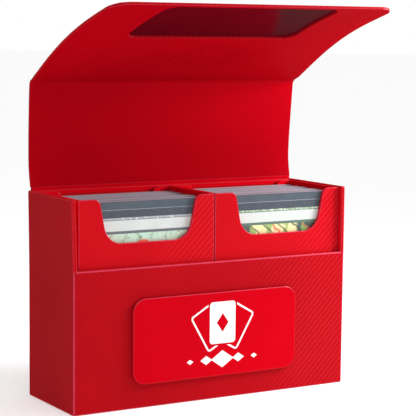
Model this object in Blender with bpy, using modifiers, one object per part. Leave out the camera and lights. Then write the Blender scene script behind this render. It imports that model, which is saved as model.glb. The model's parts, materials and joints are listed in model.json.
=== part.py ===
"""Double card deck box: a board box wrapped in leatherette, with a folding magnetic lid.

A low-fronted box holds two lift-out trays side by side, and each tray holds one deck of sleeved
cards. The lid is two panels: the top panel turns on the back wall, and the front panel folds on a
crease at the top panel's far edge. The front panel's inner face has a window with a steel plate
at its bottom, which drops over the magnetic plaque on the box front.

Units are metres, +Z is up. The origin is the middle of the underside. The front faces -Y.
The model stands open: the top panel upright, the front panel leaning forwards over the trays.
"""
import math

import bmesh
import bpy
from mathutils import Matrix, Vector

MM = 0.001
GAP = 0.3 * MM                 # between any two pieces that touch on the real box

# the box
BOX_WIDTH = 151.0 * MM
BOX_DEPTH = 49.2 * MM
BOX_HEIGHT = 100.0 * MM
FRONT_HEIGHT = 67.0 * MM
BOARD = 2.2 * MM               # wall thickness
LINING = 0.4 * MM
EDGE_ROUND = 0.7 * MM

# the plaque on the front wall and the magnets behind it
PLAQUE_WIDTH = 90.8 * MM
PLAQUE_HEIGHT = 40.8 * MM
PLAQUE_MIDDLE = 31.8 * MM      # height of its centre
PLAQUE_PROUD = 1.8 * MM        # how far its face stands out of the front wall
PLAQUE_CORNER = 6.5 * MM
MAGNET_RADIUS = 6.0 * MM
MAGNET_THICK = 1.2 * MM
MAGNET_SPREAD = 30.0 * MM      # each side of the middle
POCKET_DEPTH = 1.5 * MM

# the lid
LID_WIDTH = 148.8 * MM
TOP_BOARD = 1.2 * MM
FRAME_BOARD = 1.4 * MM
OUTER_BOARD = 0.8 * MM
PLATE = 0.3 * MM
FRONT_PANEL = 94.0 * MM        # from the crease to the free edge
LID_CORNER = 9.0 * MM
BEAD_RADIUS = 0.8 * MM         # the rolled leatherette on each fold
BEAD_ROOM = 1.3 * MM           # from a fold's axis to the board beside it
FRONT_ROOM = 1.1 * MM          # between the front wall and the closed lid, held off by the plaque
WINDOW_ROOM = 0.6 * MM         # window larger than the plaque, at its sides and below
WINDOW_TOP_ROOM = 3.0 * MM     # and above, for the fingers that close the lid
FRONT_LEAN = math.radians(68.2)

# the trays and the decks
TRAY_WALL = 1.6 * MM
TRAY_TOP = 99.4 * MM
TRAY_SIDE_ROOM = 0.4 * MM
NOTCH_BOTTOM = 78.4 * MM
NOTCH_TOP_HALF = 25.9 * MM
NOTCH_LOW_HALF = 22.2 * MM
NOTCH_TOP_ROUND = 3.2 * MM
NOTCH_LOW_ROUND = 7.5 * MM
DECK_HEIGHT = 92.2 * MM
DECK_WIDTH = 67.0 * MM
FRONT_CARD = 0.9 * MM

# worked out from the above
HALF_WIDTH = BOX_WIDTH / 2
HALF_DEPTH = BOX_DEPTH / 2
INNER_X = HALF_WIDTH - BOARD
INNER_Y = HALF_DEPTH - BOARD
TOP_THICK = TOP_BOARD + GAP + LINING
FRONT_THICK = FRAME_BOARD + GAP + OUTER_BOARD
HINGE_Y = HALF_DEPTH
HINGE_Z = BOX_HEIGHT + GAP + TOP_THICK
TOP_PANEL = BOX_DEPTH + FRONT_ROOM + FRONT_THICK
WINDOW_NEAR = HINGE_Z - (PLAQUE_MIDDLE + PLAQUE_HEIGHT / 2 + WINDOW_TOP_ROOM)
WINDOW_FAR = HINGE_Z - (PLAQUE_MIDDLE - PLAQUE_HEIGHT / 2 - WINDOW_ROOM)
WINDOW_WIDTH = PLAQUE_WIDTH + 2 * WINDOW_ROOM

BOX_RED = (0.62, 0.008, 0.013, 1)
LINING_RED = (0.42, 0.006, 0.012, 1)


def clear_scene():
    for item in list(bpy.data.objects):
        bpy.data.objects.remove(item, do_unlink=True)


def collection(name):
    group = bpy.data.collections.new(name)
    bpy.context.scene.collection.children.link(group)
    return group


def put(item, group):
    for old in list(item.users_collection):
        old.objects.unlink(item)
    group.objects.link(item)


def paint(item, colour, roughness, metallic=0.0):
    surface = bpy.data.materials.new(item.name)
    surface.use_nodes = True
    shader = surface.node_tree.nodes["Principled BSDF"]
    shader.inputs["Base Color"].default_value = colour
    shader.inputs["Roughness"].default_value = roughness
    shader.inputs["Metallic"].default_value = metallic
    surface.diffuse_color = colour
    item.data.materials.clear()
    item.data.materials.append(surface)


def block(name, low, high, round_edges=0.0):
    """A board between two opposite corners, its edges rounded by a Bevel modifier."""
    low = Vector(low)
    high = Vector(high)
    bpy.ops.mesh.primitive_cube_add(size=1, location=(low + high) / 2)
    item = bpy.context.object
    item.name = name
    item.data.transform(Matrix.Diagonal((high - low).to_4d()))
    if round_edges:
        bevel = item.modifiers.new("rounded edges", "BEVEL")
        bevel.width = round_edges
        bevel.segments = 2
    put(item, PARTS)
    return item


def rounded(corners):
    """Outline points from corners (x, y, radius): each corner with a radius becomes an arc."""
    outline = []
    count = len(corners)
    for index, (x, y, radius) in enumerate(corners):
        corner = Vector((x, y))
        if not radius:
            outline.append(corner)
            continue
        back = (Vector(corners[index - 1][:2]) - corner).normalized()
        ahead = (Vector(corners[(index + 1) % count][:2]) - corner).normalized()
        half = back.angle(ahead) / 2
        centre = corner + (back + ahead).normalized() * radius / math.sin(half)
        start = corner + back * radius / math.tan(half) - centre
        turn = math.pi - 2 * half
        if back.cross(ahead) > 0:
            turn = -turn
        steps = max(3, round(abs(turn) / math.radians(15)))
        for step in range(steps + 1):
            outline.append(centre + Matrix.Rotation(turn * step / steps, 2) @ start)
    return outline


def sheet(name, outline, thick, holes=()):
    """A flat board in its own XY plane, its lower face at z = 0, made from closed outlines."""
    curve = bpy.data.curves.new(name, "CURVE")
    curve.dimensions = "2D"
    curve.fill_mode = "BOTH"
    curve.extrude = thick / 2
    for points in (outline, *holes):
        spline = curve.splines.new("POLY")
        spline.points.add(len(points) - 1)
        for point, place in zip(spline.points, points):
            point.co = (place.x, place.y, 0, 1)
        spline.use_cyclic_u = True
    guide = bpy.data.objects.new(name + " outline", curve)
    PARTS.objects.link(guide)
    bpy.context.view_layer.update()
    mesh = bpy.data.meshes.new_from_object(guide.evaluated_get(bpy.context.evaluated_depsgraph_get()))
    bpy.data.objects.remove(guide, do_unlink=True)
    solid = bmesh.new()
    solid.from_mesh(mesh)
    bmesh.ops.remove_doubles(solid, verts=solid.verts, dist=0.000001)
    bmesh.ops.translate(solid, verts=solid.verts, vec=(0, 0, thick / 2))
    bmesh.ops.recalc_face_normals(solid, faces=solid.faces)
    solid.to_mesh(mesh)
    solid.free()
    item = bpy.data.objects.new(name, mesh)
    PARTS.objects.link(item)
    return item


def disc(name, radius, thick, location, group):
    """A short round bar along Y."""
    bpy.ops.mesh.primitive_cylinder_add(vertices=32, radius=radius, depth=thick, location=location,
                                        rotation=(math.pi / 2, 0, 0))
    item = bpy.context.object
    item.name = name
    put(item, group)
    return item


def bead(name, length):
    """A thin round bar along X through its own origin."""
    bpy.ops.mesh.primitive_cylinder_add(vertices=16, radius=BEAD_RADIUS, depth=length)
    item = bpy.context.object
    item.name = name
    item.data.transform(Matrix.Rotation(math.pi / 2, 4, "Y"))
    put(item, PARTS)
    return item


def joint_frame(name, location, rotation=(0, 0, 0), parent=None):
    """An empty on a joint's axis, which the body's pieces hang from."""
    frame = bpy.data.objects.new(name, None)
    frame.empty_display_size = 0.01
    frame.location = location
    frame.rotation_euler = rotation
    frame.parent = parent
    PARTS.objects.link(frame)
    return frame


def shell():
    """The box: two sides at full depth, and the back, front and floor between them."""
    between = INNER_X - GAP
    for name, side in (("shell_left_board", -1), ("shell_right_board", 1)):
        edges = sorted((side * INNER_X, side * HALF_WIDTH))
        low = (edges[0], -HALF_DEPTH, 0)
        high = (edges[1], HALF_DEPTH, BOX_HEIGHT)
        paint(block(name, low, high, EDGE_ROUND), BOX_RED, 0.35)
    back = block("shell_back_board", (-between, INNER_Y, 0), (between, HALF_DEPTH, BOX_HEIGHT), EDGE_ROUND)
    paint(back, BOX_RED, 0.35)
    floor = block("shell_floor_board", (-between, -INNER_Y + GAP, 0), (between, INNER_Y - GAP, BOARD),
                  EDGE_ROUND)
    paint(floor, BOX_RED, 0.35)
    front = block("shell_front_board", (-between, -HALF_DEPTH, 0), (between, -INNER_Y, FRONT_HEIGHT),
                  EDGE_ROUND)
    paint(front, BOX_RED, 0.35)
    cut_magnet_pockets(front)
    lining = block("floor_lining", (-between + GAP, -INNER_Y + 2 * GAP, BOARD + GAP),
                   (between - GAP, INNER_Y - 2 * GAP, BOARD + GAP + LINING))
    paint(lining, LINING_RED, 0.8)
    lining = block("back_lining", (-between + GAP, INNER_Y - GAP - LINING, BOARD + 2 * GAP + LINING),
                   (between - GAP, INNER_Y - GAP, BOX_HEIGHT - 2 * MM))
    paint(lining, LINING_RED, 0.8)
    strip = bead("hinge_strip", LID_WIDTH)
    strip.location = (0, HINGE_Y, HINGE_Z)
    paint(strip, BOX_RED, 0.35)


def cut_magnet_pockets(front):
    """Two round blind pockets in the front wall's outer face."""
    for side in (-1, 1):
        place = (side * MAGNET_SPREAD, -HALF_DEPTH, PLAQUE_MIDDLE)
        cutter = disc("magnet pocket", MAGNET_RADIUS + GAP, 2 * POCKET_DEPTH, place, CUTTERS)
        cutter.hide_render = True
        cutter.display_type = "WIRE"
        cut = front.modifiers.new("magnet pocket", "BOOLEAN")
        cut.operation = "DIFFERENCE"
        cut.solver = "EXACT"
        cut.object = cutter


def plaque():
    half_width = PLAQUE_WIDTH / 2
    half_height = PLAQUE_HEIGHT / 2
    outline = rounded([(-half_width, -half_height, PLAQUE_CORNER), (half_width, -half_height, PLAQUE_CORNER),
                       (half_width, half_height, PLAQUE_CORNER), (-half_width, half_height, PLAQUE_CORNER)])
    item = sheet("front_plaque", outline, PLAQUE_PROUD - GAP)
    item.rotation_euler = (math.pi / 2, 0, 0)
    item.location = (0, -HALF_DEPTH - GAP, PLAQUE_MIDDLE)
    paint(item, BOX_RED, 0.3)


def magnets():
    """The two steel-grey discs lying in the front wall's pockets."""
    middle = -HALF_DEPTH + POCKET_DEPTH - GAP - MAGNET_THICK / 2
    for name, side in (("left_magnet", -1), ("right_magnet", 1)):
        place = (side * MAGNET_SPREAD, middle, PLAQUE_MIDDLE)
        magnet = disc(name, MAGNET_RADIUS, MAGNET_THICK, place, PARTS)
        paint(magnet, (0.55, 0.55, 0.57, 1), 0.25, 1.0)


def panel_outline(near, far, corner):
    """A lid panel's outline across the fold: x across, y away from the fold's axis."""
    half = LID_WIDTH / 2
    return rounded([(-half, near, 0), (half, near, 0), (half, far, corner), (-half, far, corner)])


def hang(item, frame, depth):
    """Hang a sheet on a lid frame, its outer side `depth` under the panel's outer face.

    The frame's Z runs from its fold to the panel's far edge, and its -Y is the panel's inner side.
    """
    item.parent = frame
    item.rotation_euler = (math.pi / 2, 0, 0)
    item.location = (0, -depth, 0)


def lid():
    top = joint_frame("lid_top_frame", (0, HINGE_Y, HINGE_Z))
    board = sheet("lid_top_board", panel_outline(BEAD_ROOM, TOP_PANEL - FRONT_THICK - GAP, 0), TOP_BOARD)
    hang(board, top, 0)
    paint(board, BOX_RED, 0.35)
    lining = sheet("lid_top_lining", panel_outline(BEAD_ROOM, TOP_PANEL - FRONT_THICK - GAP, 0), LINING)
    hang(lining, top, TOP_BOARD + GAP)
    paint(lining, LINING_RED, 0.3)
    strip = bead("crease_strip", LID_WIDTH)
    strip.parent = top
    strip.location = (0, 0, TOP_PANEL)
    paint(strip, BOX_RED, 0.35)

    front = joint_frame("lid_front_frame", (0, 0, TOP_PANEL), (FRONT_LEAN, 0, 0), top)
    board = sheet("lid_front_board", panel_outline(BEAD_ROOM, FRONT_PANEL, LID_CORNER), OUTER_BOARD)
    hang(board, front, 0)
    paint(board, BOX_RED, 0.35)
    half = WINDOW_WIDTH / 2
    window = rounded([(-half, WINDOW_NEAR, PLAQUE_CORNER), (half, WINDOW_NEAR, PLAQUE_CORNER),
                      (half, WINDOW_FAR, PLAQUE_CORNER), (-half, WINDOW_FAR, PLAQUE_CORNER)])
    frame = sheet("lid_front_frame_board", panel_outline(BEAD_ROOM, FRONT_PANEL, LID_CORNER),
                  FRAME_BOARD, [window])
    hang(frame, front, OUTER_BOARD + GAP)
    paint(frame, LINING_RED, 0.3)
    half -= GAP
    corner = PLAQUE_CORNER - GAP
    near = WINDOW_NEAR + GAP
    far = WINDOW_FAR - GAP
    plate = sheet("lid_steel_plate", rounded([(-half, near, corner), (half, near, corner),
                                              (half, far, corner), (-half, far, corner)]), PLATE)
    hang(plate, front, OUTER_BOARD + GAP)
    paint(plate, (0.05, 0.01, 0.015, 1), 0.2, 0.6)


def tray(side_name, side):
    """A lift-out tray: notched front and back, plain sides, and a floor between them."""
    near = GAP
    far = INNER_X - TRAY_SIDE_ROOM
    middle = side * (near + far) / 2
    half = (far - near) / 2
    bottom = BOARD + LINING + 3 * GAP
    front_y = -INNER_Y + GAP
    back_y = INNER_Y - 2 * GAP - LINING
    frame = joint_frame(side_name + "_tray_frame", (middle, (front_y + back_y) / 2, bottom))
    depth = back_y - front_y
    height = TRAY_TOP - bottom
    notch_low = NOTCH_BOTTOM - bottom
    outline = rounded([(-half, 0, 0.5 * MM), (half, 0, 0.5 * MM), (half, height, 0.5 * MM),
                       (NOTCH_TOP_HALF, height, NOTCH_TOP_ROUND), (NOTCH_LOW_HALF, notch_low, NOTCH_LOW_ROUND),
                       (-NOTCH_LOW_HALF, notch_low, NOTCH_LOW_ROUND), (-NOTCH_TOP_HALF, height, NOTCH_TOP_ROUND),
                       (-half, height, 0.5 * MM)])
    pieces = []
    for name, y in (("front", -depth / 2 + TRAY_WALL), ("back", depth / 2)):
        wall = sheet("%s_tray_%s" % (side_name, name), outline, TRAY_WALL)
        wall.rotation_euler = (math.pi / 2, 0, 0)
        wall.location = (0, y, 0)
        pieces.append(wall)
    inner_y = depth / 2 - TRAY_WALL - GAP
    for name, turn in (("left", -1), ("right", 1)):
        edges = sorted((turn * (half - TRAY_WALL), turn * half))
        wall = block("%s_tray_%s" % (side_name, name), (edges[0], -inner_y, 0), (edges[1], inner_y, height),
                     0.4 * MM)
        pieces.append(wall)
    inner_x = half - TRAY_WALL - GAP
    floor = block(side_name + "_tray_floor", (-inner_x, -inner_y, 0), (inner_x, inner_y, TRAY_WALL))
    pieces.append(floor)
    for item in pieces:
        item.parent = frame
        paint(item, BOX_RED, 0.35)
    return frame, depth


def deck(side_name, tray_frame, tray_depth):
    """A deck of sleeved cards standing in its tray, and the card that faces the front notch."""
    frame = joint_frame(side_name + "_deck_frame", (0, 0, TRAY_WALL + GAP), parent=tray_frame)
    half_depth = tray_depth / 2 - TRAY_WALL - GAP
    half_width = DECK_WIDTH / 2
    card = block(side_name + "_deck_front_card", (-half_width, -half_depth, 0),
                 (half_width, -half_depth + FRONT_CARD, DECK_HEIGHT))
    card.parent = frame
    paint(card, (0.16, 0.2, 0.24, 1), 0.3)
    cards = block(side_name + "_deck_cards", (-half_width, -half_depth + FRONT_CARD + GAP, 0),
                  (half_width, half_depth, DECK_HEIGHT))
    cards.parent = frame
    paint(cards, (0.3, 0.25, 0.28, 1), 0.4)


clear_scene()
PARTS = collection("card deck box")
CUTTERS = collection("cutters")
shell()
plaque()
magnets()
lid()
for tray_side, sign in (("left", -1), ("right", 1)):
    deck(tray_side, *tray(tray_side, sign))
bpy.context.view_layer.update()
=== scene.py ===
"""Looks for the double card deck box: wrapped box, folding lid, lift-out trays and sleeved decks.

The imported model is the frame: sizes and places are read from its nodes, in metres, +Z up, with the
front facing -Y. The lid is shaped flat, as x across and y along it from the hinge, and is then laid
over its curved side view.
"""
import json
import math
import random

import bpy
from mathutils import Matrix, Vector


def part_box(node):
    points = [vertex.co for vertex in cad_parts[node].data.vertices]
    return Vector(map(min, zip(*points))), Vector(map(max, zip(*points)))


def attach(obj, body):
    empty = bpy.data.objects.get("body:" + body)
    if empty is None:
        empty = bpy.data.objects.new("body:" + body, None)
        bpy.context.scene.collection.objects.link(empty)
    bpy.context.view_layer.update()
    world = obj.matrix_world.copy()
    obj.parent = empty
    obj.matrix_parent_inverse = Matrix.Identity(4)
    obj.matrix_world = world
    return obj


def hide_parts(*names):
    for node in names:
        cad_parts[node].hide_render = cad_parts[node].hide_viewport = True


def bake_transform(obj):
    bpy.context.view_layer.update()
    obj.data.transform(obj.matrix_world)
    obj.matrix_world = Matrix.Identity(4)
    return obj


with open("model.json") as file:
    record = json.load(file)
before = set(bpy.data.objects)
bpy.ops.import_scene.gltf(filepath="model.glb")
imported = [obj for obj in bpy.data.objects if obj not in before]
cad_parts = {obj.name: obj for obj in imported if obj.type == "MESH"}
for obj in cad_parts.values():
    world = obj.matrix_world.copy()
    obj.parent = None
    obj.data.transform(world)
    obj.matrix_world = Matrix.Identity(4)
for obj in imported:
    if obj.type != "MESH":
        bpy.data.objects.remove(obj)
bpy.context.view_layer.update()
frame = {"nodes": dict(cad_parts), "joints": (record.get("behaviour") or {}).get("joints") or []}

MM = 0.001
GAP = 0.3 * MM                 # room round a magnet, and the steel plate's thickness
UNROLLED = "unrolled"          # the UV map, in metres, that wrapped boards carry

# the box
SHELL_NODES = ["shell_%s_board" % side for side in ("left", "right", "front", "back", "floor")]
OUTER_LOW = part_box("shell_left_board")[0]
OUTER_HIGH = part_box("shell_right_board")[1]
INNER_LOW = Vector((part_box("shell_left_board")[1].x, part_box("shell_front_board")[1].y,
                    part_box("shell_floor_board")[1].z))
INNER_HIGH = Vector((-INNER_LOW.x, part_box("shell_back_board")[0].y, OUTER_HIGH.z))
FRONT_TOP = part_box("shell_front_board")[1].z
PLAQUE_LOW, PLAQUE_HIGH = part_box("front_plaque")
PLAQUE_CORNER = 6.5 * MM

# the lid, measured along it from the hinge
HINGE = sum(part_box("hinge_strip"), Vector()) / 2
CREASE = sum(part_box("crease_strip"), Vector()) / 2
LID_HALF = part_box("lid_top_board")[1].x
LEAN = math.radians(next(j["range_deg"][1] for j in frame["joints"] if j["name"] == "lid_crease"))
TOP_LENGTH = CREASE.z - HINGE.z
FRONT_LENGTH = (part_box("lid_front_board")[1].z - CREASE.z) / math.cos(LEAN)
LID_LENGTH = TOP_LENGTH + FRONT_LENGTH
LID_CORNER = 9 * MM
TOP_THICK = 1.9 * MM
LID_START = -0.8 * MM          # the panels begin just below the hinge's axis
EDGE_THICK = 1.1 * MM          # where the panels thin out at their rim
FRONT_THICK = 2.5 * MM
HINGE_CORE_START = -2.3 * MM   # the hinge's filled core meets the back wall here
HINGE_SKIN = (-9 * MM, 8 * MM)         # where the leatherette over the hinge starts and ends
LID_SPREAD = 0.7 * MM          # how far the lid's sides stand past the box's
RIGHT_TRIM = 1.5 * MM          # how much narrower its right side is at the hinge
RIGHT_SWELL = 1.5 * MM         # how far the crease bows forward at its right end
SIDE_SPREAD = 1.1 * MM         # how far the box's left side bows out above the front wall

# the window, which drops over the plaque when the lid is shut, and the steel plate at its bottom
WINDOW_LEFT = PLAQUE_LOW.x - 1.6 * MM
WINDOW_RIGHT = PLAQUE_HIGH.x + 0.2 * MM
WINDOW_NEAR = TOP_LENGTH + HINGE.z - PLAQUE_HIGH.z - 4 * MM
WINDOW_FAR = TOP_LENGTH + HINGE.z - PLAQUE_LOW.z + 0.6 * MM
PLATE_DEPTH = 1.1 * MM         # from the lid's outer face to the plate
PLATE_ROOM = 0.2 * MM          # round the plate

# the trays: how far their left and right walls stand from the frame's, and their finger notches
TRAY_MOVES = {"left": (1.2 * MM, 0.7 * MM), "right": (0.7 * MM, 0.2 * MM)}
NOTCH_MOVES = {"left": 0.5 * MM, "right": 1.3 * MM}
NOTCH_BOTTOM = 78.4 * MM
NOTCH_TOP_HALF = 25.8 * MM
NOTCH_LOW_HALF = 21.7 * MM
NOTCH_LIP_ROUND = 2.56 * MM
NOTCH_LOW_ROUND = 7.5 * MM

# the decks
SLEEVES = 56
SLEEVE_FILL = 0.82             # a sleeve's thickness, as a share of the room it has
SLEEVE_DROP = 0.7 * MM         # the sleeves' tops, below the frame's
SLEEVE_FILM = 0.12 * MM

# the printed emblem
FAN_REACH = 13.4 * MM          # from the fan's foot to a card's middle
FAN_TURN = math.radians(30)
CARD_HALF_WIDTH = 7.2 * MM
CARD_HALF_HEIGHT = 10.2 * MM
CARD_ROUND = 1.7 * MM
PRINT_LINE = 0.9 * MM
PRINT_THICK = 0.05 * MM

LOZENGE_HEIGHTS = (8.4, 4.4, 2.4)      # from the middle one outwards, in millimetres
LOZENGE_STEP = 9.0 * MM

# the camera, its place in metres and its turns in degrees
CAMERA_PLACE = (-0.3815, -0.6548, 0.1768)
CAMERA_YAW = -30.88
CAMERA_PITCH = 6.51
CAMERA_ROLL = 0.605
CAMERA_LENS = 134.4

CLEAR = 10 * MM                # how far a cutter reaches past what it cuts


# ---- modelling ----

def only(item):
    """Make item the one selected, active object."""
    bpy.ops.object.select_all(action="DESELECT")
    item.select_set(True)
    bpy.context.view_layer.objects.active = item


def block(name, low, high):
    """A block between two opposite corners, its place and size in its mesh."""
    low = Vector(low)
    high = Vector(high)
    bpy.ops.object.select_all(action="DESELECT")
    bpy.ops.mesh.primitive_cube_add(size=1, calc_uvs=False, location=(low + high) / 2, scale=high - low)
    item = bpy.context.object
    item.name = name
    bpy.ops.object.transform_apply(location=True, rotation=True, scale=True)
    return item


def disc(name, centre, radius, thick, sides=48):
    """A round bar along Y."""
    bpy.ops.object.select_all(action="DESELECT")
    bpy.ops.mesh.primitive_cylinder_add(vertices=sides, radius=radius, depth=thick, calc_uvs=False,
                                        location=centre, rotation=(math.pi / 2, 0, 0))
    item = bpy.context.object
    item.name = name
    bpy.ops.object.transform_apply(location=True, rotation=True, scale=True)
    return item


def shape(item, kind, test, operator, **settings):
    """Run an edit-mode operator on the faces or edges that pass a test.

    The test gets a face's centre and normal, or an edge's two ends.
    """
    only(item)
    bpy.ops.object.mode_set(mode="EDIT")
    bpy.ops.mesh.select_mode(type=kind)
    bpy.ops.mesh.select_all(action="DESELECT")
    bpy.ops.object.mode_set(mode="OBJECT")
    mesh = item.data
    if kind == "FACE":
        for face in mesh.polygons:
            face.select = test(face.center, face.normal)
    else:
        for edge in mesh.edges:
            edge.select = test(*(mesh.vertices[corner].co for corner in edge.vertices))
    bpy.ops.object.mode_set(mode="EDIT")
    operator(**settings)
    bpy.ops.object.mode_set(mode="OBJECT")


def push(item, test, offset):
    """Extrude the faces that pass a test by an offset."""
    shape(item, "FACE", test, bpy.ops.mesh.extrude_region_move, TRANSFORM_OT_translate={"value": offset})


def slice_across(item, axis, places):
    """Cut a mesh by planes across an axis, keeping both sides."""
    normal = Vector((0, 0, 0))
    normal[axis] = 1
    for place in places:
        shape(item, "FACE", lambda centre, facing: True, bpy.ops.mesh.bisect,
              plane_co=normal * place, plane_no=normal)


def modify(item, kind, **settings):
    only(item)
    modifier = item.modifiers.new(kind.lower(), kind)
    for name, value in settings.items():
        setattr(modifier, name, value)
    bpy.ops.object.modifier_apply(modifier=modifier.name)


def cut(item, cutter):
    modify(item, "BOOLEAN", operation="DIFFERENCE", solver="EXACT", object=cutter)
    bpy.data.objects.remove(cutter, do_unlink=True)


def soften(item, width, segments=3, angle=35):
    """Round every edge sharper than an angle, in the item's last material, and shade the rest smooth."""
    only(item)
    bpy.ops.object.shade_smooth_by_angle(angle=math.radians(angle))
    modify(item, "BEVEL", width=width, segments=segments, limit_method="ANGLE",
           angle_limit=math.radians(angle), harden_normals=True, material=len(item.data.materials) - 1)


def along(axis):
    """A test for edges that run along an axis."""
    def test(start, end):
        run = (end - start).normalized()
        return abs(run[axis]) > 0.99
    return test


def join(items, name):
    bpy.ops.object.select_all(action="DESELECT")
    for item in items:
        item.select_set(True)
    bpy.context.view_layer.objects.active = items[0]
    if len(items) > 1:
        bpy.ops.object.join()
    items[0].name = name
    return items[0]


def copy_of(item, name, move=(0, 0, 0)):
    """A copy with its own mesh, moved within its mesh."""
    twin = item.copy()
    twin.data = item.data.copy()
    twin.name = name
    twin.data.transform(Matrix.Translation(move))
    bpy.context.scene.collection.objects.link(twin)
    return twin


def unroll(item):
    """Give a wrapped board its UV map: across each upright face, the same way round the box, and up."""
    mesh = item.data
    layer = mesh.uv_layers.new(name=UNROLLED)
    for face in mesh.polygons:
        facing = face.normal
        for loop in face.loop_indices:
            point = mesh.vertices[mesh.loops[loop].vertex_index].co
            if abs(facing.z) > 0.7:
                across, up = point.x, point.y
            elif abs(facing.x) > abs(facing.y):
                across, up = point.y * math.copysign(1, facing.x), point.z
            else:
                across, up = point.x * math.copysign(1, -facing.y), point.z
            layer.data[loop].uv = (across, up)


def unroll_flat(item):
    """Give a piece of the flat lid its UV map: across it, and along it from the hinge."""
    layer = item.data.uv_layers.new(name=UNROLLED)
    for loop in item.data.loops:
        layer.data[loop.index].uv = item.data.vertices[loop.vertex_index].co.xy


def ramp(value, start, end):
    """0 up to the start, rising evenly to 1 at the end."""
    return min(1, max(0, (value - start) / (end - start)))


def smooth_step(value, start, end):
    """A ramp that starts and ends gently."""
    share = ramp(value, start, end)
    return share * share * (3 - 2 * share)


# ---- materials ----

class Socket:
    """A shader value: a sum, product or comparison of these adds its Math nodes."""

    def __init__(self, finish, socket):
        self.finish = finish
        self.socket = socket

    def maths(self, operation, *values):
        return self.finish.node("Math", {"operation": operation}, dict(enumerate(values)))

    def __add__(self, other):
        return self.maths("ADD", self, other)

    def __radd__(self, other):
        return self.maths("ADD", other, self)

    def __sub__(self, other):
        return self.maths("SUBTRACT", self, other)

    def __rsub__(self, other):
        return self.maths("SUBTRACT", other, self)

    def __mul__(self, other):
        return self.maths("MULTIPLY", self, other)

    def __rmul__(self, other):
        return self.maths("MULTIPLY", other, self)

    def __truediv__(self, other):
        return self.maths("DIVIDE", self, other)

    def __rtruediv__(self, other):
        return self.maths("DIVIDE", other, self)

    def __gt__(self, other):
        return self.maths("GREATER_THAN", self, other)

    def __lt__(self, other):
        return self.maths("LESS_THAN", self, other)

    def __abs__(self):
        return self.maths("ABSOLUTE", self)

    def wave(self):
        """0 to 1 and back, once for each whole number."""
        return 0.5 + 0.5 * self.maths("SINE", self * (2 * math.pi))

    def clamp(self):
        return self.maths("MAXIMUM", self.maths("MINIMUM", self, 1.0), 0.0)


class Finish:
    """A material on a Principled shader, its constants set on the shader's own sockets."""

    def __init__(self, name, **constants):
        self.material = bpy.data.materials.new(name)
        self.material.use_nodes = True
        self.tree = self.material.node_tree
        self.shader = self.tree.nodes["Principled BSDF"]
        for socket, value in constants.items():
            self.shader.inputs[socket.replace("_", " ")].default_value = value

    def feed(self, socket, value):
        if isinstance(value, Socket):
            self.tree.links.new(value.socket, socket)
        else:
            socket.default_value = value

    def node(self, kind, settings=None, sockets=None, output=0):
        """Any node: its settings are set first, then the values or links of its sockets."""
        made = self.tree.nodes.new("ShaderNode" + kind)
        for name, value in (settings or {}).items():
            setattr(made, name, value)
        for key, value in (sockets or {}).items():
            self.feed(made.inputs[key], value)
        return Socket(self, made.outputs[output])

    def set(self, **values):
        for socket, value in values.items():
            self.feed(self.shader.inputs[socket.replace("_", " ")], value)

    def place(self):
        """Object coordinates."""
        return self.node("TexCoord", output="Object")

    def parts(self, vector):
        """A vector's three numbers, turned from metres into millimetres."""
        split = self.node("SeparateXYZ", sockets={0: vector})
        outputs = split.socket.node.outputs
        return [Socket(self, outputs[index]) * (1 / MM) for index in range(3)]

    def noise(self, vector, size, detail=2.0, rough=0.5):
        """Soft noise from 0 to 1, its patches about `size` metres across."""
        return self.node("TexNoise", {"noise_dimensions": "3D"},
                         {"Vector": vector, "Scale": 1 / size, "Detail": detail, "Roughness": rough})

    def mix(self, amount, first, second):
        """Two colours mixed, each a link or four numbers."""
        return self.node("Mix", {"data_type": "RGBA"}, {0: amount, 6: first, 7: second}, output=2)

    def bump(self, height, distance, strength=1.0):
        self.set(Normal=self.node("Bump", sockets={"Height": height, "Distance": distance,
                                                   "Strength": strength}))


PINK_SHEEN = (1.0, 0.32, 0.42, 1)      # the tint of light mirrored by the red coating
RIB_ANGLE = math.radians(45)
RIB_PITCH = 2.25                # across the ribs, in millimetres
GHOST_RUN = 78                  # from the hinge to the ghost's middle, in millimetres


def red(light=1.0, green=0.0025, blue=0.0065):
    """The coating's red, lighter or darker."""
    return (0.44 * light, green * light, blue * light, 1)


def coated(name, rough, **constants):
    """A red coated material, its mirrored light tinted by the coating."""
    settings = {"Roughness": rough, "Specular_IOR_Level": 0.05, "Specular_Tint": PINK_SHEEN}
    return Finish(name, **{**settings, **constants})


def ribbed_leatherette(name, light=1.0, start=0.0, top_start=200.0):
    """Red leatherette with fine slanting ribs, on wrapped boards that carry the unrolled map.

    The ribs' crests are painted paler, a painted highlight for light glinting along them. This highlight
    and the ribs' relief fade nearly away to the left of `start` on the map and come in over the next 40
    mm; above
    `top_start` they come in too, all the way across. Both are in millimetres. `light` paints the whole
    wrap lighter or darker, as painted light and shade for how much light the piece gets.
    """
    finish = coated(name, 0.34)
    spread = finish.node("UVMap", {"uv_map": UNROLLED})
    across, up, _ = finish.parts(spread)
    phase = (across * math.sin(RIB_ANGLE) - up * math.cos(RIB_ANGLE)) / RIB_PITCH
    rib = phase.wave()
    place = finish.place()
    patches = finish.noise(place, 35 * MM, 3)
    grain = finish.noise(place, 0.45 * MM, 3, 0.6)
    base = finish.mix(patches, red(0.84 * light), red(1.06 * light))
    square = rib * rib
    crest = square * square * square
    # how far the ribs show, both their relief and their painted crest highlight: more to the right of
    # `start` and above `top_start`, where light glints on them
    rising = (across - start + (up - 60) * 0.3) / 40
    highest = rising.maths("MAXIMUM", rising, (up - top_start) / 60)
    shown = 0.12 + 0.88 * (highest + patches - 0.5).clamp()
    # the crests' paler red: a painted highlight of light along the ribs
    crest_highlight = red(1.5 * light, 0.020, 0.032)
    finish.set(Base_Color=finish.mix(crest * shown * 0.34 + grain * 0.06, base, crest_highlight),
               Roughness=0.30 + 0.10 * grain + 0.06 * patches)
    finish.bump(crest * shown * 0.8 + grain * 0.2, 0.03 * MM)
    return finish.material


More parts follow.
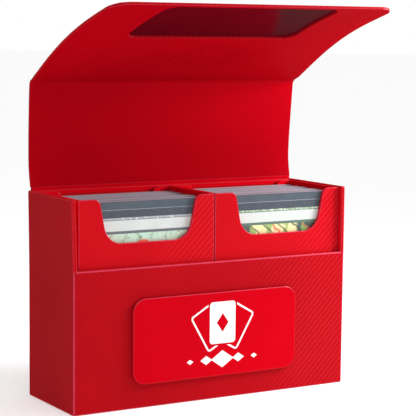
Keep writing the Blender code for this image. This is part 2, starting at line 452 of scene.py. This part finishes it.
def smooth_coating(name, rough=0.2, light=1.0, ghost=False):
    """The smooth coated side: glossy, with a very fine grain.

    The lid's inner side also has a ghost of lozenges, pressed in faintly between crease and window.
    `light` paints the coating lighter or darker, as painted light and shade for how much light the part
    gets.
    """
    finish = coated(name, rough, Specular_IOR_Level=0.006)
    place = finish.place()
    patches = finish.noise(place, 40 * MM, 3)
    grain = finish.noise(place, 0.6 * MM, 2)
    base = finish.mix(patches, red(0.88 * light, 0.0012), red(1.08 * light, 0.0012))
    relief = grain
    if ghost:
        across, along_lid, _ = finish.parts(finish.node("UVMap", {"uv_map": UNROLLED}))
        # each lozenge's middle across the lid, and how far it reaches, in millimetres
        lines = 0.0
        for middle, reach in ((8, 27), (8, 19), (0, 6), (16, 6)):
            edge = abs(across - middle) / reach + abs(along_lid - GHOST_RUN) / (reach * 0.5)
            lines = lines + (1 - abs(edge - 1) * reach * 1.1).clamp()
        base = finish.mix(lines.clamp() * 0.7, base, red(0.3 * light))
        relief = grain * 0.5 - lines.clamp() * 0.5
    finish.set(Base_Color=base, Roughness=rough - 0.03 + 0.06 * grain + 0.05 * patches)
    finish.bump(relief, 0.012 * MM)
    return finish.material


def rolled_edge_highlight(name, green, blue, gloss):
    """Leatherette over a board's rounded edge: its ribs pulled flat and glossier, and its colour painted
    paler as a painted highlight along the edge.

    `green` and `blue` say how pale the painted highlight is, and `gloss` is the shader's specular level.
    """
    finish = coated(name, 0.22, Specular_IOR_Level=gloss)
    place = finish.place()
    stretch = finish.noise(place, 6 * MM, 3)
    grain = finish.noise(place, 0.5 * MM, 2)
    finish.set(Base_Color=finish.mix(stretch, red(1.1, green, blue), red(1.4, 2 * green, 1.6 * blue)),
               Roughness=0.18 + 0.12 * grain)
    finish.bump(grain, 0.01 * MM)
    return finish.material


def fine_lining():
    """Red lining paper with a fine nap."""
    finish = coated("lining_paper", 0.6)
    place = finish.place()
    nap = finish.noise(place, 0.5 * MM, 4, 0.7)
    finish.set(Base_Color=finish.mix(nap, red(0.95), red(1.25)), Roughness=0.55 + 0.2 * nap)
    finish.bump(nap, 0.04 * MM)
    return finish.material


def lacquered_steel():
    """The thin steel plate, lacquered a very dark red."""
    finish = Finish("lacquered_steel", Roughness=0.14, Specular_IOR_Level=0.06)
    place = finish.place()
    cloud = finish.noise(place, 22 * MM, 3)
    speck = finish.noise(place, 0.8 * MM, 2)
    finish.set(Base_Color=finish.mix(cloud, (0.060, 0.0008, 0.004, 1), (0.085, 0.0016, 0.007, 1)),
               Roughness=0.13 + 0.08 * speck)
    finish.bump(speck, 0.006 * MM)
    return finish.material


def bright_magnet():
    """Nickel-plated magnet, finely turned."""
    finish = Finish("bright_magnet", Metallic=1.0, Roughness=0.25)
    turned = finish.noise(finish.place(), 1.2 * MM, 3)
    finish.set(Base_Color=finish.mix(turned, (0.5, 0.5, 0.52, 1), (0.72, 0.71, 0.7, 1)),
               Roughness=0.2 + 0.15 * turned)
    finish.bump(turned, 0.01 * MM)
    return finish.material


def white_print():
    """Opaque white print, a little uneven."""
    finish = Finish("white_print", Roughness=0.4)
    place = finish.place()
    cover = finish.noise(place, 1.6 * MM, 3)
    finish.set(Base_Color=finish.mix(cover, (0.86, 0.84, 0.84, 1), (0.97, 0.96, 0.96, 1)),
               Roughness=0.35 + 0.12 * cover)
    finish.bump(cover, 0.01 * MM)
    return finish.material


def sleeve_film(pitch, first):
    """Smoky sleeve film, each sleeve a slightly different grey."""
    finish = Finish("sleeve_film", Roughness=0.3, Specular_IOR_Level=0.5)
    place = finish.place()
    _, y, _ = finish.parts(place)
    depth = (y - first / MM) / (pitch / MM)
    number = depth.maths("FLOOR", depth)
    shade = finish.node("TexWhiteNoise", {"noise_dimensions": "1D"}, {"W": number})
    scuff = finish.noise(place, 1.5 * MM, 3, 0.6)
    base = finish.mix(shade, (0.21, 0.17, 0.21, 1), (0.50, 0.42, 0.49, 1))
    finish.set(Base_Color=finish.mix(scuff * 0.3, base, (0.6, 0.56, 0.6, 1)),
               Roughness=0.22 + 0.3 * scuff)
    finish.bump(scuff, 0.02 * MM)
    return finish.material


def card_face(name, middle, top, border, edge_fleck, art):
    """A front card in its sleeve: two smoky bands, a worn edge, a blank title bar and a picture.

    Heights are in millimetres down from the deck's top, and `art` colours the picture.
    """
    finish = Finish(name, Roughness=0.25, Specular_IOR_Level=0.35)
    place = finish.place()
    x, _, z = finish.parts(place)
    side = x - middle / MM
    down = top / MM - z
    grain = finish.noise(place, 0.5 * MM, 3, 0.6)
    drift = finish.noise(place, 7 * MM, 3)
    fleck = finish.noise(place, 0.9 * MM, 2, 0.7)

    def below(height, soft=0.12):
        return ((down - height) / soft + 0.5).clamp()

    def colour_below(height, colour, over):
        return finish.mix(below(height), over, colour)

    slate = finish.mix(drift, (0.045, 0.066, 0.088, 1), (0.080, 0.108, 0.136, 1))
    dark_slate = finish.mix(drift, (0.038, 0.050, 0.070, 1), (0.070, 0.086, 0.110, 1))
    line = (0.30, 0.32, 0.38, 1)
    surface = colour_below(3.6, line, slate)
    surface = colour_below(3.85, dark_slate, surface)
    wear = ((fleck - 0.52) * 8).clamp()
    surface = colour_below(7.5, finish.mix(wear, edge_fleck, (0.85, 0.86, 0.84, 1)), surface)
    surface = colour_below(8.4, border, surface)
    bar = finish.mix(drift, (0.57, 0.61, 0.59, 1), (0.68, 0.72, 0.70, 1))
    inside = (28.6 - abs(side)).clamp()
    surface = finish.mix(below(8.7) * inside, surface, bar)
    surface = colour_below(13.7, border, surface)
    surface = finish.mix(below(15.0) * inside, surface, art(finish, place, side, down))
    finish.set(Base_Color=finish.mix(grain * 0.12, surface, (0.5, 0.5, 0.52, 1)),
               Roughness=0.2 + 0.12 * grain)
    finish.bump(grain * 0.5 + drift * 0.5, 0.02 * MM)
    return finish.material


def misty_grove(finish, place, side, down):
    """Pale green mist with thin dark trunks and one warm spot."""
    mist = finish.noise(place, 5 * MM, 4, 0.6)
    ground = finish.mix(mist, (0.36, 0.55, 0.42, 1), (0.72, 0.80, 0.62, 1))
    centre = (1 - abs(side) / 20).clamp()
    ground = finish.mix(centre * 0.7, ground, (0.50, 0.78, 0.66, 1))
    sway = finish.noise(place, 3 * MM, 3, 0.7)
    thicket = finish.noise(place, 2.2 * MM, 4, 0.7)
    ground = finish.mix(((thicket - 0.5) * 5).clamp() * 0.5, ground, (0.24, 0.36, 0.22, 1))
    trunk = (((side + sway * 12) / 7.3).wave() - 0.9) * 9
    ground = finish.mix(trunk.clamp() * (thicket * 1.6 - 0.2).clamp(), ground, (0.08, 0.13, 0.08, 1))
    reach = ((side + 1.5) * (side + 1.5) / 9 + (down - 19.5) * (down - 19.5) / 1.6)
    return finish.mix((1.4 - reach + sway * 0.6).clamp(), ground, (0.80, 0.14, 0.04, 1))


def slanting_reeds(finish, place, side, down):
    """Yellow light between dark slanting reeds, with a few red strokes."""
    glow = finish.noise(place, 4 * MM, 4, 0.6)
    light = finish.mix(glow, (0.68, 0.64, 0.24, 1), (0.88, 0.86, 0.52, 1))
    shade = finish.mix(glow, (0.045, 0.075, 0.065, 1), (0.10, 0.14, 0.12, 1))
    edge = (abs(side + 1) / 2 - 6.2).clamp()
    ground = finish.mix(edge, light, shade)
    bend = finish.noise(place, 6 * MM, 3)
    green = ((side / 11 + bend * 1.2).wave() - 0.72) * 5
    ground = finish.mix(green.clamp() * 0.8, ground, (0.22, 0.42, 0.10, 1))
    reed = (((side - down * 1.3 + bend * 6) / 8.5).wave() - 0.9) * 10
    ground = finish.mix(reed.clamp() * 0.85, ground, (0.03, 0.05, 0.03, 1))
    stroke = (((side - down * 1.1 + bend * 9) / 19.0).wave() - 0.975) * 34
    return finish.mix(stroke.clamp() * 0.9, ground, (0.70, 0.05, 0.03, 1))


# ---- pieces ----

def dress(item, *materials):
    """Give a piece its materials: the first all over, and the last for the edges rounded after this."""
    for material in materials:
        item.data.materials.append(material)


def paint(item, material, test, over=None):
    """Give faces that pass a test one of the piece's materials: all of them, or those with another."""
    number = item.data.materials.find(material.name)
    under = item.data.materials.find(over.name) if over else None
    for face in item.data.polygons:
        if (over is None or face.material_index == under) and test(face):
            face.material_index = number


def seat(item, slot, body, *nodes):
    """Set a finished piece on the body that it rides on, and hide the nodes it stands for. `slot` is not
    used.
    """
    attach(item, body)
    if nodes:
        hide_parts(*nodes)


def box_shell():
    """The box in one wrapped piece: full-height sides and back, and a low front wall."""
    item = block("box_shell", OUTER_LOW, OUTER_HIGH)
    cut(item, block("cavity", INNER_LOW, (INNER_HIGH.x, INNER_HIGH.y, OUTER_HIGH.z + CLEAR)))
    cut(item, block("front gap", (INNER_LOW.x, OUTER_LOW.y - CLEAR, FRONT_TOP),
                    (INNER_HIGH.x, 0, OUTER_HIGH.z + CLEAR)))
    for name in ("left_magnet", "right_magnet"):
        low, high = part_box(name)
        centre = (low + high) / 2
        centre.y = OUTER_LOW.y
        pocket = 2 * (high.y - OUTER_LOW.y + GAP)
        cut(item, disc("magnet pocket", centre, (high.x - low.x) / 2 + GAP, pocket))
    unroll(item)
    dress(item, BOX_WRAP, WALL_EDGE_HIGHLIGHT, BOX_INNER, PALE_EDGE_HIGHLIGHT)
    paint(item, BOX_INNER, lambda face: abs(face.center.x) < INNER_HIGH.x + 0.1 * MM
          and abs(face.center.y) < OUTER_HIGH.y - MM)
    # the walls' tops take the red edge finish, painted paler as a highlight
    paint(item, WALL_EDGE_HIGHLIGHT, lambda face: face.normal.z > 0.7 and face.center.z > FRONT_TOP - MM)
    slice_across(item, 2, [FRONT_TOP + step * 3 * MM for step in range(-2, 11)])
    bow_start = FRONT_TOP - 6 * MM
    for vertex in item.data.vertices:
        rise = max(0, (vertex.co.z - bow_start) / (OUTER_HIGH.z - bow_start)) ** 1.3
        if vertex.co.x < INNER_LOW.x + 0.1 * MM:
            vertex.co.x -= SIDE_SPREAD * rise * (0.7 - 0.3 * vertex.co.y / OUTER_HIGH.y)
    soften(item, 0.7 * MM, 4)
    # the pale painted highlight stays only on rounded edges that face forwards, up to the front wall's
    # top; the others take the red painted highlight
    paint(item, WALL_EDGE_HIGHLIGHT, lambda face: face.center.z > FRONT_TOP + MM or face.normal.y > -0.5, PALE_EDGE_HIGHLIGHT)
    seat(item, "box_wrap", "box", *SHELL_NODES)


def plaque():
    """The rounded plaque with a bevelled rim; its white printed emblem of fanned cards is a piece of its
    own, made by emblem().
    """
    item = block("plaque_plate", PLAQUE_LOW, PLAQUE_HIGH)
    shape(item, "EDGE", along(1), bpy.ops.mesh.bevel, offset=PLAQUE_CORNER, segments=12)
    dress(item, PLAQUE_COAT, WALL_EDGE_HIGHLIGHT, PALE_EDGE_HIGHLIGHT)
    soften(item, 0.4 * MM, 4)
    # only the rim's upward faces keep the pale painted highlight; the rest take the plainer red edge
    # finish
    paint(item, WALL_EDGE_HIGHLIGHT, lambda face: face.normal.z < 0.25, PALE_EDGE_HIGHLIGHT)
    seat(item, "plaque", "box", "front_plaque")


def printed_card(name, centre, turn, grow=0.0):
    """A rounded card shape, turned about the fan's foot, lying on the plaque's face.

    One that is grown or shrunk is a cutter, and is thicker.
    """
    half_width = CARD_HALF_WIDTH + grow
    half_height = CARD_HALF_HEIGHT + grow
    thick = 1 * MM if grow else PRINT_THICK
    item = block(name, (-half_width, -thick, -half_height), (half_width, thick, half_height))
    shape(item, "EDGE", along(1), bpy.ops.mesh.bevel, offset=CARD_ROUND + grow, segments=6)
    reach = Matrix.Translation((0, 0, FAN_REACH))
    item.data.transform(Matrix.Translation(centre) @ Matrix.Rotation(turn, 4, "Y") @ reach)
    return item


def lozenge(name, centre, width, height, thick=PRINT_THICK):
    """A flat lozenge that faces the front."""
    item = disc(name, (0, 0, 0), 0.5, 2 * thick, 4)
    item.data.transform(Matrix.Translation(centre) @ Matrix.Diagonal((width, 1, height, 1)))
    return item


def emblem():
    """Three fanned cards over a row of lozenges, in white."""
    foot = Vector((3.2 * MM, PLAQUE_LOW.y, PLAQUE_LOW.z + 12.6 * MM))
    shapes = []
    for turn in (-FAN_TURN, FAN_TURN, 0):
        card = printed_card("fan card", foot, turn)
        if turn:
            cut(card, printed_card("inside", foot, turn, -PRINT_LINE))
            cut(card, printed_card("front card", foot, 0, PRINT_LINE))
        else:
            cut(card, lozenge("pip", foot + Vector((0, 0, FAN_REACH)), 6.6 * MM, 9.2 * MM, 1 * MM))
        shapes.append(card)
    for step in range(-2, 3):
        size = LOZENGE_HEIGHTS[abs(step)] * MM
        centre = foot + Vector((step * LOZENGE_STEP, 0, -4.4 * MM))
        shapes.append(lozenge("lozenge", centre, 1.5 * size, size))
    item = join(shapes, "plaque_emblem")
    dress(item, white_print())
    seat(item, "plaque", "box")


def lean_at(run):
    """The lid's lean from upright in its side view, at a distance from the hinge."""
    run /= MM
    # bent back at the hinge, and upright again 14 mm on, then bowed slightly forwards up to the crease
    degrees = 15.3 * (ramp(run, 0, 14) - smooth_step(run, -1.5, 1)) + 4.4 * ramp(run, 14, 49)
    # the crease: a sharp fold at the start of a wider one
    degrees += 7 * smooth_step(run, 48.4, 49) + 47.7 * smooth_step(run, 47.2, 54.6)
    # the front panel, drooping towards its end
    degrees += 15.5 * smooth_step(run, 52.1, 141)
    return math.radians(degrees)


STEP = 0.25 * MM
CURVE_START = -12 * MM         # the curve begins on the back wall, below the hinge
CURVE = [Vector((HINGE.y, HINGE.z + CURVE_START))]
while CURVE_START + len(CURVE) * STEP < LID_LENGTH + 3 * STEP:
    lean = lean_at(CURVE_START + (len(CURVE) - 0.5) * STEP)
    CURVE.append(CURVE[-1] + STEP * Vector((-math.sin(lean), math.cos(lean))))


def lay_over_lid(item):
    """Move a piece shaped flat (y along the lid, z up from its outer face) over the lid's side view."""
    for vertex in item.data.vertices:
        run = (vertex.co.y - CURVE_START) / STEP
        index = int(run)
        centre = CURVE[index].lerp(CURVE[index + 1], run - index)
        lean = lean_at(vertex.co.y)
        outward = Vector((math.cos(lean), math.sin(lean)))
        place = centre + outward * vertex.co.z
        share = 0.5 + 0.5 * vertex.co.x / LID_HALF
        swell = smooth_step(vertex.co.y, 46 * MM, 57 * MM)
        swell *= 1 - smooth_step(vertex.co.y, 62 * MM, 120 * MM)
        forward = place.x - RIGHT_SWELL * swell * max(0, share) ** 2
        vertex.co = (vertex.co.x, forward, place.y)


def thin_lid(mesh, half):
    """Give the flat lid its real thickness and outline, while y still runs along it."""
    # the inner face steps in behind the crease, where the panel is thinner
    for vertex in mesh.vertices:
        if vertex.co.z < -FRONT_THICK / 2 and vertex.co.y < 70 * MM:
            thick = TOP_THICK + (FRONT_THICK - TOP_THICK) * smooth_step(vertex.co.y, 50 * MM, 56 * MM)
            vertex.co.z = -thick
    for vertex in mesh.vertices:
        trim = 1 - smooth_step(vertex.co.y, 0, 50 * MM)
        # the right side draws in towards the hinge
        vertex.co.x -= RIGHT_TRIM * trim * max(0, vertex.co.x / half)
    # the outer face slopes in towards the rim
    for vertex in mesh.vertices:
        if vertex.co.z > -0.1 * MM:
            thick = TOP_THICK if vertex.co.y < 52 * MM else FRONT_THICK
            past_side = LID_CORNER - (half - abs(vertex.co.x))
            past_end = LID_CORNER - (LID_LENGTH - vertex.co.y)
            if min(past_side, past_end) > 0:
                inset = LID_CORNER - math.hypot(past_side, past_end)
            else:
                inset = LID_CORNER - max(past_side, past_end)
            vertex.co.z -= (thick - EDGE_THICK) * (1 - smooth_step(inset, -MM, 5 * MM))


def lid():
    """Both lid panels in one wrapped piece, bending at the crease, with the window in its inner side."""
    half = LID_HALF + LID_SPREAD
    item = block("lid_panels", (-half, LID_START, -FRONT_THICK), (half, LID_LENGTH, 0))
    shape(item, "EDGE", lambda start, end: along(2)(start, end) and start.y > LID_LENGTH - MM,
          bpy.ops.mesh.bevel, offset=LID_CORNER, segments=10)
    window = block("window", (WINDOW_LEFT, WINDOW_NEAR, -CLEAR), (WINDOW_RIGHT, WINDOW_FAR, -PLATE_DEPTH))
    shape(window, "EDGE", along(2), bpy.ops.mesh.bevel, offset=PLAQUE_CORNER, segments=10)
    cut(item, window)
    even = [step * 2 * MM for step in range(1, int(LID_LENGTH / (2 * MM)))]
    fine = [46 * MM + step * 0.5 * MM for step in range(28)]
    slice_across(item, 1, sorted(set(even + fine + [LID_LENGTH - 1.5 * MM])))
    slice_across(item, 0, [side * (half - inset * MM) for side in (-1, 1) for inset in (1.5, 3, 5)])
    unroll_flat(item)
    dress(item, LID_WRAP, LID_INNER, WINDOW_RIM_HIGHLIGHT, PALE_EDGE_HIGHLIGHT, WALL_EDGE_HIGHLIGHT)
    paint(item, LID_INNER, lambda face: face.normal.z < -0.5)
    # the window's far wall takes the window rim's finish: painted paler, a painted highlight line
    paint(item, WINDOW_RIM_HIGHLIGHT, lambda face: face.normal.y < -0.7 and face.center.y > WINDOW_FAR - 3 * MM)
    thin_lid(item.data, half)
    lay_over_lid(item)
    soften(item, 0.3 * MM, 3)
    # the far rim gets the pale painted highlight, and so does the middle of the edge at the hinge
    paint(item, PALE_EDGE_HIGHLIGHT, lambda face: face.center.z > HINGE.z + 84 * MM
          or face.center.z < HINGE.z + MM and abs(face.center.x) < half - 4 * MM, WALL_EDGE_HIGHLIGHT)
    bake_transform(item)
    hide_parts("lid_top_board", "lid_top_lining", "crease_strip", "lid_front_board",
                "lid_front_frame_board")


def steel_plate():
    """The plate at the bottom of the lid's window, with a strip of wrap turned in over its far end,
    painted pale as a highlight line.
    """
    low = Vector((WINDOW_LEFT + PLATE_ROOM, WINDOW_NEAR + PLATE_ROOM, -PLATE_DEPTH - GAP))
    high = Vector((WINDOW_RIGHT - PLATE_ROOM, WINDOW_FAR - PLATE_ROOM, -PLATE_DEPTH))
    item = block("window_plate", low, high)
    shape(item, "EDGE", along(2), bpy.ops.mesh.bevel, offset=PLAQUE_CORNER - PLATE_ROOM, segments=10)
    turned_in = WINDOW_FAR - PLATE_ROOM - 0.8 * MM
    slice_across(item, 1, [WINDOW_NEAR + step * 2 * MM for step in range(1, 21)] + [turned_in])
    steel = lacquered_steel()
    dress(item, WINDOW_RIM_HIGHLIGHT, steel)
    paint(item, steel, lambda face: face.center.y <= turned_in)
    lay_over_lid(item)
    soften(item, 0.1 * MM, 2)
    seat(item, "steel_plate", "lid_front", "lid_steel_plate")


def hinge_cover():
    """The leatherette that bends between the back wall and the lid, with its filled core."""
    core = block("core", (-LID_HALF, HINGE_CORE_START, -TOP_THICK), (LID_HALF - MM, LID_START, 0))
    skin = block("skin", (-LID_HALF + MM, HINGE_SKIN[0], -0.1 * MM),
                 (LID_HALF - MM, HINGE_SKIN[1], 0.4 * MM))
    for vertex in skin.data.vertices:
        if vertex.co.z > 0:
            vertex.co.y *= 0.8
    for part in (core, skin):
        slice_across(part, 1, [step * 0.5 * MM for step in range(-18, 17)])
    item = join([core, skin], "hinge_cover")
    unroll_flat(item)
    dress(item, LID_WRAP, HINGE_INNER, WALL_EDGE_HIGHLIGHT)
    paint(item, HINGE_INNER, lambda face: face.normal.z < -0.5)
    lay_over_lid(item)
    soften(item, 0.15 * MM, 2, 50)
    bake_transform(item)
    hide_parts("hinge_strip")


def tray(side):
    """A lift-out tray: thin walls, with a rounded finger notch through the front and the back."""
    names = [side + "_tray_" + part for part in ("front", "back", "left", "right", "floor")]
    boxes = [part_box(name) for name in names]
    low = Vector(min(box[0][axis] for box in boxes) for axis in range(3))
    high = Vector(max(box[1][axis] for box in boxes) for axis in range(3))
    low.x += TRAY_MOVES[side][0]
    high.x += TRAY_MOVES[side][1]
    wall = boxes[0][1].y - boxes[0][0].y
    middle = (low.x + high.x) / 2 + NOTCH_MOVES[side]
    item = block(side + "_tray", low, high)
    cut(item, block("hollow", low + Vector((wall, wall, wall)), high + Vector((-wall, -wall, CLEAR))))
    notch = block("notch", (middle - NOTCH_TOP_HALF, low.y - CLEAR, NOTCH_BOTTOM),
                  (middle + NOTCH_TOP_HALF, high.y + CLEAR, high.z))
    for vertex in notch.data.vertices:
        if vertex.co.z < high.z - MM:
            vertex.co.x = middle + math.copysign(NOTCH_LOW_HALF, vertex.co.x - middle)
    shape(notch, "EDGE", lambda start, end: along(1)(start, end) and start.z < high.z - MM,
          bpy.ops.mesh.bevel, offset=NOTCH_LOW_ROUND, segments=8)
    push(notch, lambda centre, facing: facing.z > 0.9, (0, 0, 5 * MM))
    cut(item, notch)

    def notch_lip(start, end):
        return (along(1)(start, end) and start.z > high.z - 0.01 * MM
                and abs(abs(start.x - middle) - NOTCH_TOP_HALF) < 0.01 * MM)

    shape(item, "EDGE", notch_lip, bpy.ops.mesh.bevel, offset=NOTCH_LIP_ROUND, segments=6)
    unroll(item)
    dress(item, TRAY_WRAPS[side], TRAY_INNER, WALL_EDGE_HIGHLIGHT, PALE_EDGE_HIGHLIGHT)
    paint(item, TRAY_INNER, lambda face: low.y + wall / 2 < face.center.y < high.y - wall / 2)
    soften(item, 0.3 * MM, 3, 30)
    # the pale painted highlight stays on the front edges only; the others take the red painted highlight
    paint(item, WALL_EDGE_HIGHLIGHT, lambda face: face.center.y > low.y + MM, PALE_EDGE_HIGHLIGHT)
    seat(item, "tray_wrap", side + "_tray", *names)


def deck(side, art, border, edge_fleck):
    """A deck of sleeved cards, and the card in front of it."""
    body = side + "_deck"
    aside = Vector((sum(TRAY_MOVES[side]) / 2, 0, 0))
    low, high = (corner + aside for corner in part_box(side + "_deck_cards"))
    pitch = (high.y - low.y) / SLEEVES
    draw = random.Random(side)
    sleeve = block("sleeve", low, (high.x, low.y + SLEEVE_FILL * pitch, high.z - SLEEVE_DROP))
    centre_x = (low.x + high.x) / 2
    centre_y = low.y + SLEEVE_FILL * pitch / 2
    # a thin film round a mouth that the card has sunk into
    shape(sleeve, "FACE", lambda centre, facing: facing.z > 0.9, bpy.ops.mesh.inset,
          thickness=0.09 * MM, depth=0)
    push(sleeve, lambda centre, facing: facing.z > 0.9 and abs(centre.x - centre_x) < MM
         and abs(centre.y - centre_y) < 0.01 * MM, (0, 0, -1.6 * MM))
    sleeves = []
    for index in range(SLEEVES):
        move = (draw.uniform(-0.25, 0.25) * MM, index * pitch, draw.uniform(-0.6, 0.6) * MM)
        sleeves.append(copy_of(sleeve, "sleeve", move))
        bpy.context.view_layer.update()
    bpy.data.objects.remove(sleeve, do_unlink=True)
    item = join(sleeves, side + "_cards")
    dress(item, sleeve_film(pitch, low.y))
    seat(item, "card_edges", body, side + "_deck_cards")

    low, high = (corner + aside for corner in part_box(side + "_deck_front_card"))
    card = block(side + "_front_card", (low.x, low.y + SLEEVE_FILM, low.z), high)
    slice_across(card, 2, [high.z - 3.65 * MM])
    push(card, lambda centre, facing: facing.y < -0.9 and centre.z < high.z - CLEAR, (0, -SLEEVE_FILM, 0))
    shape(card, "EDGE", lambda start, end: along(1)(start, end) and (start - end).length > 0.5 * MM,
          bpy.ops.mesh.bevel, offset=1.6 * MM, segments=5)
    middle = (low.x + high.x) / 2
    dress(card, card_face(side + "_card_face", middle, high.z, border, edge_fleck, art))
    soften(card, 0.05 * MM, 2)
    seat(card, "card_face", body, side + "_deck_front_card")


# ---- light and camera ----

def sun(name, azimuth, elevation, strength, spread):
    """A soft distant light: azimuth 0 shines from the front, and 90 from the right."""
    light = bpy.data.lights.new(name, "SUN")
    light.energy = strength
    light.angle = math.radians(spread)
    lamp = bpy.data.objects.new(name, light)
    turn = math.radians(azimuth)
    rise = math.radians(elevation)
    towards = Vector((math.sin(turn) * math.cos(rise), -math.cos(turn) * math.cos(rise), math.sin(rise)))
    lamp.rotation_euler = towards.to_track_quat("Z", "Y").to_euler()
    bpy.context.scene.collection.objects.link(lamp)


def softbox(name, place, aim, width, watts):
    """A square softbox, turned from its place to a point."""
    light = bpy.data.lights.new(name, "AREA")
    light.energy = watts
    light.size = width
    lamp = bpy.data.objects.new(name, light)
    lamp.location = place
    lamp.rotation_euler = (Vector(place) - Vector(aim)).to_track_quat("Z", "Y").to_euler()
    lamp.visible_camera = False
    bpy.context.scene.collection.objects.link(lamp)


def background(tree, strength):
    """A plain white surround of some strength."""
    made = tree.nodes.new("ShaderNodeBackground")
    made.inputs["Color"].default_value = (1, 1, 1, 1)
    made.inputs["Strength"].default_value = strength
    return made


def studio():
    """A pale floor, a white surround that lights the box only dimly, and soft lights."""
    bpy.ops.object.select_all(action="DESELECT")
    bpy.ops.mesh.primitive_circle_add(vertices=96, radius=12, fill_type="NGON", location=(0, 0, -0.1 * MM))
    floor = bpy.context.object
    floor.name = "floor"
    paint = Finish("pale_floor", Roughness=0.9, Specular_IOR_Level=0.1)
    paint.set(Base_Color=(0.93, 0.93, 0.93, 1), Emission_Color=(1, 1, 1, 1), Emission_Strength=0.25)
    floor.data.materials.append(paint.material)
    floor.visible_glossy = False

    world = bpy.data.worlds.new("studio")
    bpy.context.scene.world = world
    world.use_nodes = True
    tree = world.node_tree
    tree.nodes.remove(tree.nodes["Background"])
    path = tree.nodes.new("ShaderNodeLightPath")
    result = background(tree, 0.30)
    for ray, strength in (("Is Glossy Ray", 0.096), ("Is Camera Ray", 1.0)):
        mixed = tree.nodes.new("ShaderNodeMixShader")
        tree.links.new(path.outputs[ray], mixed.inputs[0])
        tree.links.new(result.outputs[0], mixed.inputs[1])
        tree.links.new(background(tree, strength).outputs[0], mixed.inputs[2])
        result = mixed
    tree.links.new(result.outputs[0], tree.nodes["World Output"].inputs["Surface"])

    sun("top", -10, 75, 1.4, 60)
    sun("left", -60, 35, 0.32, 40)
    softbox("right softbox", (0.30, -0.13, 0.23), (0.05, 0, 0.12), 0.15, 1.75)
    bpy.context.scene.view_settings.view_transform = "Standard"


def camera():
    """A long lens, low at the box's left front."""
    lens = bpy.data.cameras.new("camera")
    lens.lens = CAMERA_LENS
    lens.sensor_width = 36
    lens.clip_start = 0.01
    eye = bpy.data.objects.new("camera", lens)
    yaw = Matrix.Rotation(math.radians(CAMERA_YAW), 4, "Z")
    pitch = Matrix.Rotation(math.radians(90 - CAMERA_PITCH), 4, "X")
    roll = Matrix.Rotation(math.radians(CAMERA_ROLL), 4, "Z")
    eye.matrix_world = Matrix.Translation(CAMERA_PLACE) @ (yaw @ pitch) @ roll
    bpy.context.scene.collection.objects.link(eye)
    bpy.context.scene.camera = eye


# the light numbers paint the same red finishes lighter or darker from piece to piece: painted light and
# shade for how much light each part gets, with the inner faces of the box, trays and hinge painted
# brightest
BOX_WRAP = ribbed_leatherette("box_leatherette", 0.95, 4, 52)
LID_WRAP = ribbed_leatherette("lid_leatherette", 1.0, -40, 0)
TRAY_WRAPS = {"left": ribbed_leatherette("left_tray_leatherette", 1.22, -32),
              "right": ribbed_leatherette("right_tray_leatherette", 1.22, 36)}
LID_INNER = smooth_coating("lid_inner_coating", 0.24, 0.92, ghost=True)
HINGE_INNER = smooth_coating("hinge_inner_coating", 0.3, 1.35)
TRAY_INNER = smooth_coating("tray_inner_coating", 0.35, 1.8)
BOX_INNER = smooth_coating("box_inner_coating", 0.35, 1.6)
PLAQUE_COAT = smooth_coating("plaque_coating", 0.3, 1.25)
# the edge finishes are painted highlights: rounded edges painted paler, the pale ones where edges catch
# the most light, and the window rim palest
WALL_EDGE_HIGHLIGHT = rolled_edge_highlight("wall_edge_highlight", 0.006, 0.012, 0.15)
WINDOW_RIM_HIGHLIGHT = rolled_edge_highlight("window_rim_highlight", 0.075, 0.110, 0.4)
PALE_EDGE_HIGHLIGHT = rolled_edge_highlight("pale_edge_highlight", 0.022, 0.050, 0.4)

box_shell()
plaque()
emblem()
lid()
steel_plate()
hinge_cover()
for tray_side in ("left", "right"):
    tray(tray_side)
deck("left", misty_grove, (0.13, 0.14, 0.16, 1), (0.35, 0.38, 0.42, 1))
deck("right", slanting_reeds, (0.10, 0.17, 0.13, 1), (0.25, 0.38, 0.22, 1))

LINING = fine_lining()
MAGNET = bright_magnet()
for node, material in (("floor_lining", LINING), ("back_lining", LINING), ("left_magnet", MAGNET),
                       ("right_magnet", MAGNET)):
    for holder in frame["nodes"][node].material_slots:
        holder.material = material

studio()
camera()
